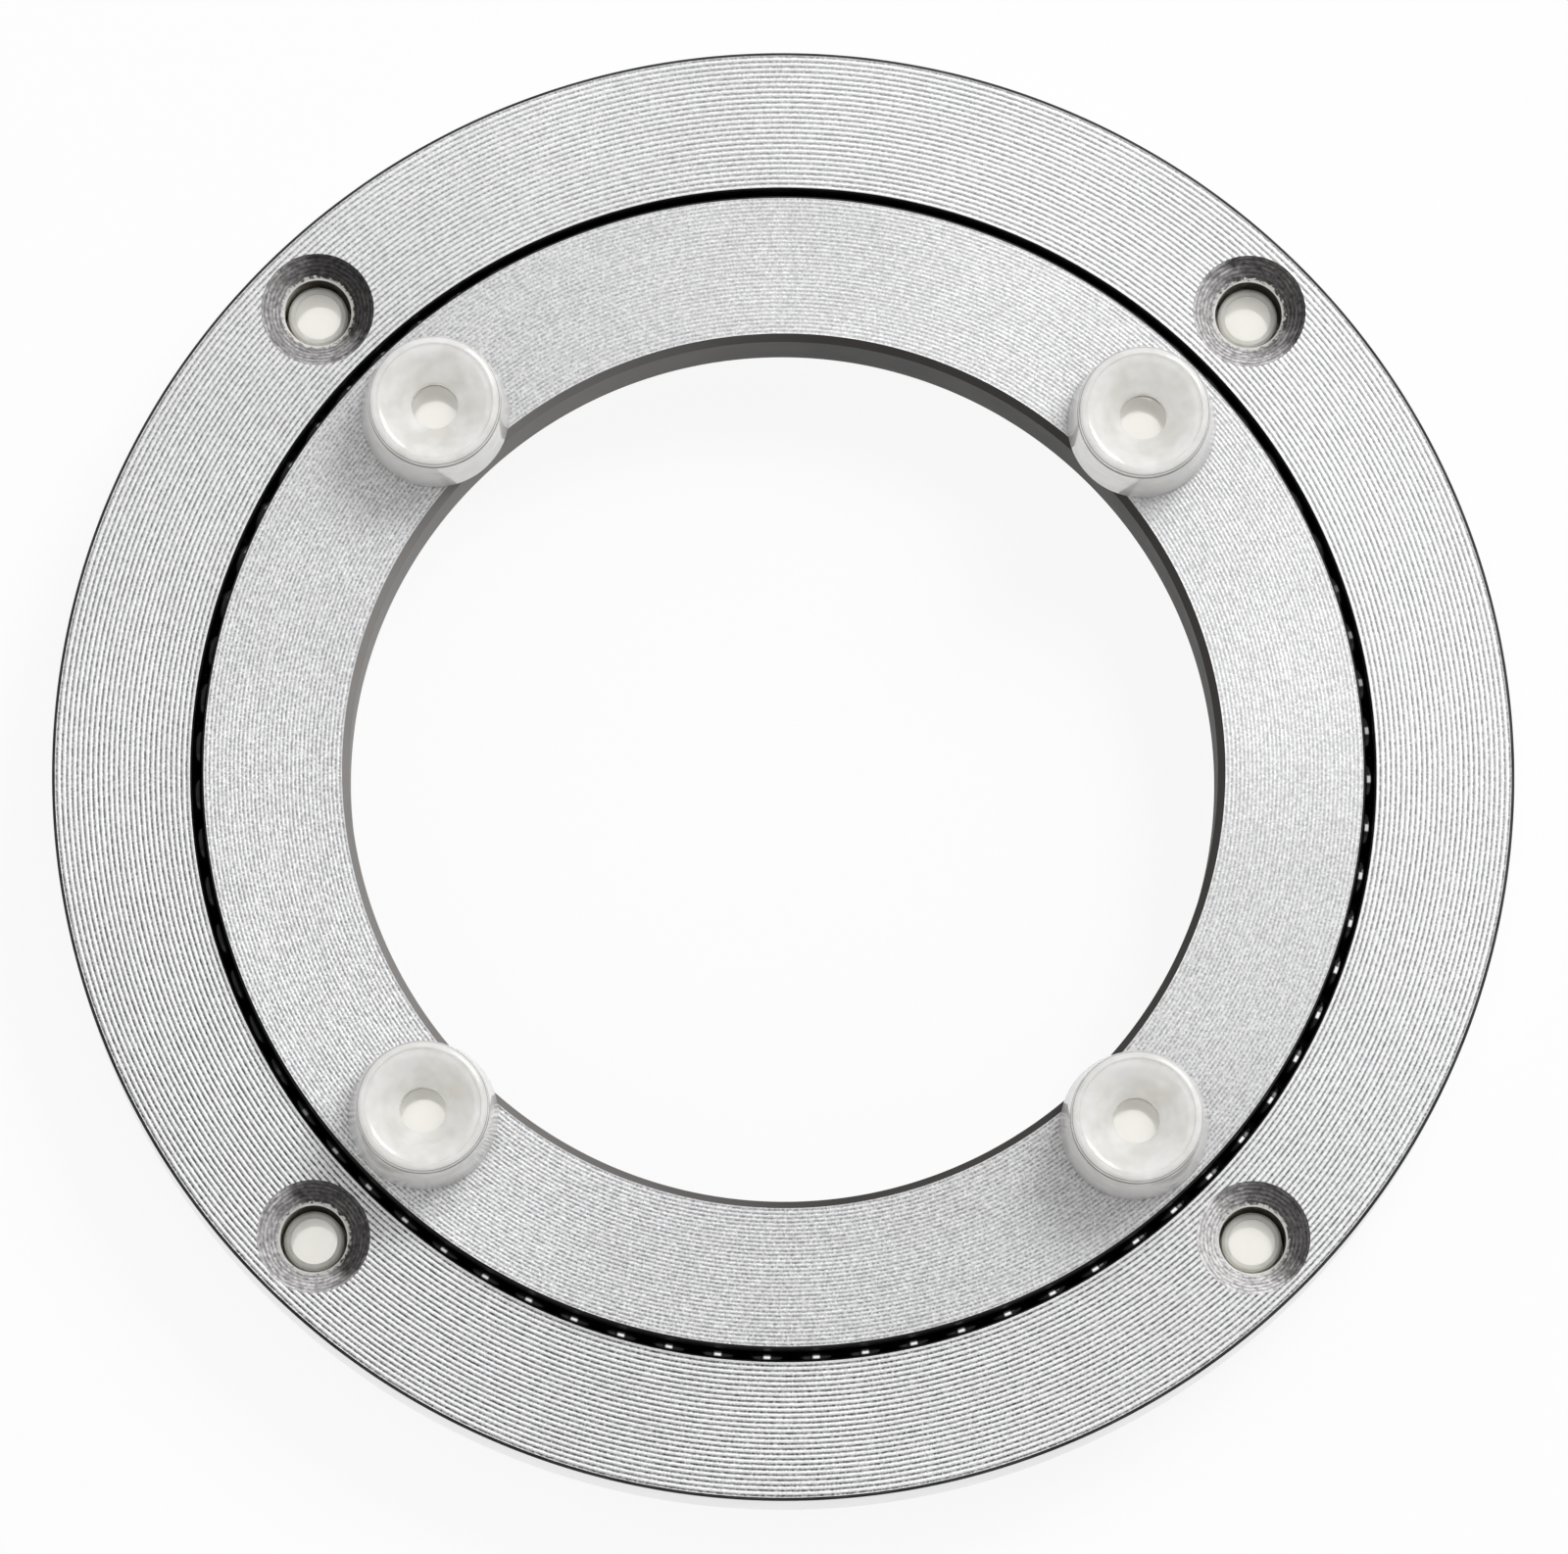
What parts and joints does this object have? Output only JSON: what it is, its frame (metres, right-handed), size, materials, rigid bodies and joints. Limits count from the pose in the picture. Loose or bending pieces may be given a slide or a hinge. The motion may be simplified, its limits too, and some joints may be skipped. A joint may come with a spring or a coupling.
{
  "type": "lazy susan bearing",
  "caption": "Flat aluminium turntable bearing: two rings that spin on a full row of steel balls, with countersunk screw holes, clear feet on one side and clear tray pads on the other.",
  "frame": {"origin": "under the middle of the bearing, on the plane of the tray pads' faces", "axes": "+Z along the turning axis, from the tray side to the foot side, which lies upwards as shown"},
  "size_m": [0.12, 0.12, 0.019],
  "materials": {
    "outer_aluminium": "face turned with fine concentric grooves, clear anodised",
    "inner_aluminium": "face turned, then blasted fine and clear anodised",
    "clear_plastic": "soft clear plastic, moulded smooth",
    "ball_steel": "polished",
    "plug_steel": "blackened grub screw"
  },
  "bodies": {
    "base": {"inner_ring": "inner_aluminium", "foot_1": "clear_plastic", "foot_2": "clear_plastic", "foot_3": "clear_plastic", "foot_4": "clear_plastic"},
    "turntable": {"outer_ring": "outer_aluminium", "tray_pad_1": "clear_plastic", "tray_pad_2": "clear_plastic", "tray_pad_3": "clear_plastic", "tray_pad_4": "clear_plastic", "filler_plug": "plug_steel"},
    "ball_row": {"balls_01": "ball_steel", "balls_02": "ball_steel", "balls_03": "ball_steel", "balls_04": "ball_steel", "balls_05": "ball_steel", "balls_06": "ball_steel", "balls_07": "ball_steel", "balls_08": "ball_steel", "balls_09": "ball_steel", "balls_10": "ball_steel", "balls_11": "ball_steel", "balls_12": "ball_steel", "balls_13": "ball_steel", "balls_14": "ball_steel", "balls_15": "ball_steel"}
  },
  "joints": [
    {"name": "turntable_spin", "type": "hinge", "parent": "base", "child": "turntable", "pos_m": [0, 0, 0.007], "axis": [0, 0, 1], "continuous": true},
    {"name": "ball_row_spin", "type": "hinge", "parent": "base", "child": "ball_row", "pos_m": [0, 0, 0.007], "axis": [0, 0, 1], "continuous": true}
  ],
  "couplings": [
    {"joint": "ball_row_spin", "follows": "turntable_spin", "ratio": 0.5147}
  ]
}
